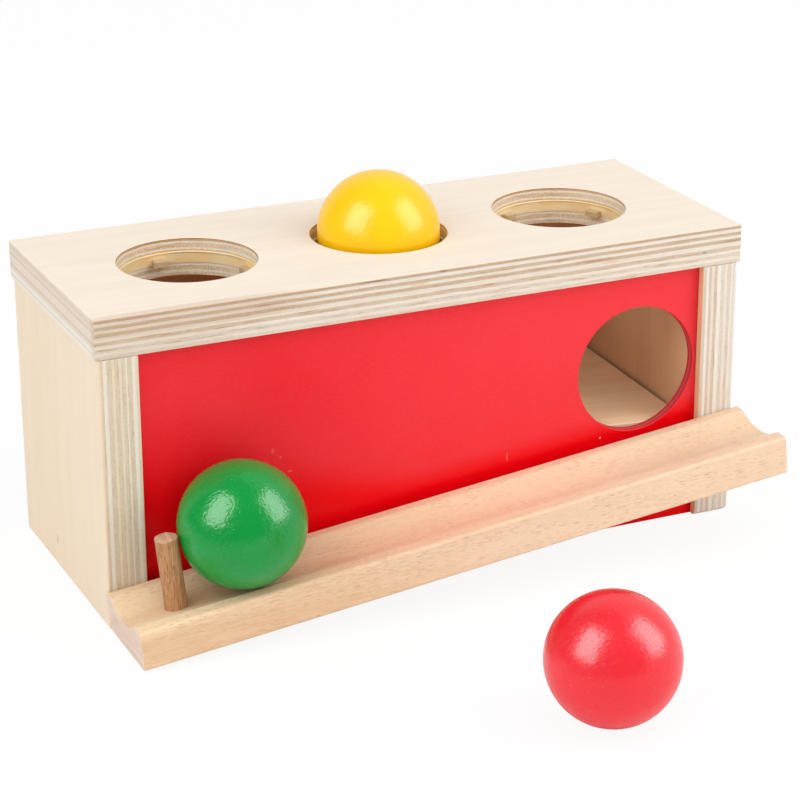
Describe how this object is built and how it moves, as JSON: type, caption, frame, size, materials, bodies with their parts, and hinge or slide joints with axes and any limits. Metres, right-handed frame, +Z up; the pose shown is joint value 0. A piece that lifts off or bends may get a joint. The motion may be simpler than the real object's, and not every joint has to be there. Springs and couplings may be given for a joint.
{
  "type": "object permanence box",
  "caption": "Plywood push-through ball box with rubber grip rings in its lid, a painted front panel with an exit hole, a sloping grooved ball track with a stop peg, and loose balls.",
  "frame": {"origin": "bottom centre of the whole set, on the table, with the loose red ball in front of the box counted in; the box's own footprint centre is at x -0.0014, y 0.0929", "axes": "+X along the lid towards the exit hole, +Y from the front panel to the back panel, +Z up"},
  "size_m": [0.3082, 0.3038, 0.1677],
  "materials": {
    "birch_plywood": "clear matt lacquer over rotary-cut birch, plies bare on the edges",
    "beech": "clear matt lacquer over straight-grained beech",
    "peg_wood": "bare sawn dowel, darker than the track",
    "red_paint": "semi-gloss red paint on thin plywood",
    "yellow_paint": "gloss yellow paint on turned wood",
    "green_paint": "gloss green paint on turned wood",
    "ball_red_paint": "gloss red paint on turned wood",
    "amber_rubber": "smooth translucent amber",
    "zinc_steel": "bright zinc plate"
  },
  "bodies": {
    "box": {"lid_top_board": "birch_plywood", "lid_bottom_board": "birch_plywood", "grip_ring_left": "amber_rubber", "grip_ring_middle": "amber_rubber", "grip_ring_right": "amber_rubber", "side_panel_left": "birch_plywood", "side_panel_right": "birch_plywood", "front_panel": "red_paint", "back_panel": "red_paint", "ball_ramp": "birch_plywood", "ramp_cleat_left": "beech", "ramp_cleat_right": "beech", "cleat_screw_left_front": "zinc_steel", "cleat_screw_left_back": "zinc_steel", "cleat_screw_right_front": "zinc_steel", "cleat_screw_right_back": "zinc_steel", "ball_track": "beech", "stop_peg": "peg_wood", "lid_dowel_left_front": "beech", "lid_dowel_left_back": "beech", "lid_dowel_right_front": "beech", "lid_dowel_right_back": "beech", "track_dowel_left": "beech", "track_dowel_right": "beech"},
    "held_ball": {"ball_yellow": "yellow_paint"},
    "track_ball": {"ball_green": "green_paint"},
    "loose_ball": {"ball_red": "ball_red_paint"}
  },
  "joints": [
    {"name": "ball_push", "type": "slide", "parent": "box", "child": "held_ball", "axis": [0, 0, 1], "range_m": [-0.0563, 0.03], "deforming": ["grip_ring_middle"]},
    {"name": "ball_roll", "type": "slide", "parent": "box", "child": "track_ball", "axis": [0.9942, 0, 0.1079], "range_m": [0, 0.2034]},
    {"name": "ball_lift", "type": "slide", "parent": "box", "child": "loose_ball", "axis": [0, 0, 1], "range_m": [0, 0.1]}
  ]
}
